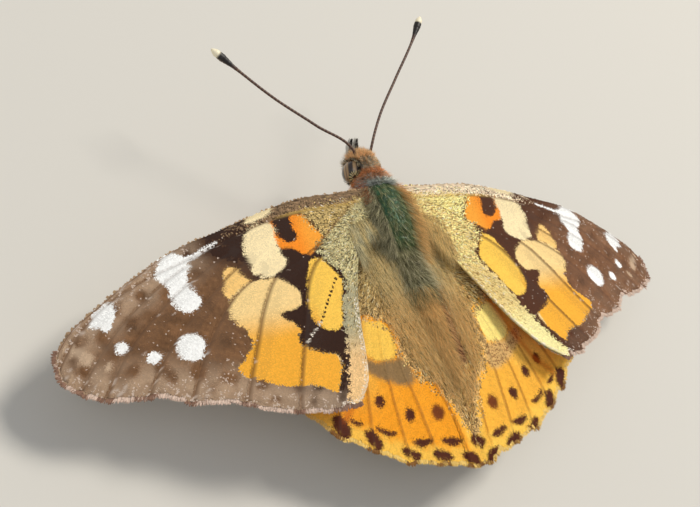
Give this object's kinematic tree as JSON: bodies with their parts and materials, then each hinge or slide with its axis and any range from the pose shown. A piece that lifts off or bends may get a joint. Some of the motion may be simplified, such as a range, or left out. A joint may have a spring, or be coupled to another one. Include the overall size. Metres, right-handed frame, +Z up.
{
  "type": "painted lady butterfly model",
  "caption": "Life-size still model of a painted lady butterfly (Vanessa cardui) at rest with its patterned wings spread flat and its antennae apart, standing on its small feet.",
  "frame": {"origin": "on the floor under the middle of the insect's bounding box", "axes": "+X to the insect's right wing, +Y from tail to head, +Z up; the insect is symmetric about the plane x = 0 apart from its antennae, the wear of its wing margins and the forewings' inner edges"},
  "size_m": [0.0608, 0.04, 0.0132],
  "materials": {
    "wing_scales": "matte overlapping scales in orange, black-brown, cream and white, greenish at the base",
    "body_hair": "dark iridescent green cuticle under fine hair",
    "abdomen_hair": "brown segments under golden-brown hair",
    "head_hair": "reddish-brown hair with a blue-grey band",
    "eye": "glossy facetted dome, brown with paler bands",
    "antenna": "dark brown shaft with pale rings, black club with a cream tip",
    "palp": "white and black scales",
    "proboscis": "dark brown, shiny",
    "leg": "pale brown scales"
  },
  "bodies": {
    "root": {"head": "head_hair", "collar": "head_hair", "thorax": "body_hair", "abdomen": "abdomen_hair", "eye_left": "eye", "antenna_left": "antenna", "palp_left": "palp", "forewing_left": "wing_scales", "hindwing_left": "wing_scales", "leg_front_left": "leg", "leg_middle_left": "leg", "leg_hind_left": "leg", "eye_right": "eye", "antenna_right": "antenna", "palp_right": "palp", "forewing_right": "wing_scales", "hindwing_right": "wing_scales", "leg_front_right": "leg", "leg_middle_right": "leg", "leg_hind_right": "leg", "proboscis": "proboscis"}
  },
  "joints": []
}
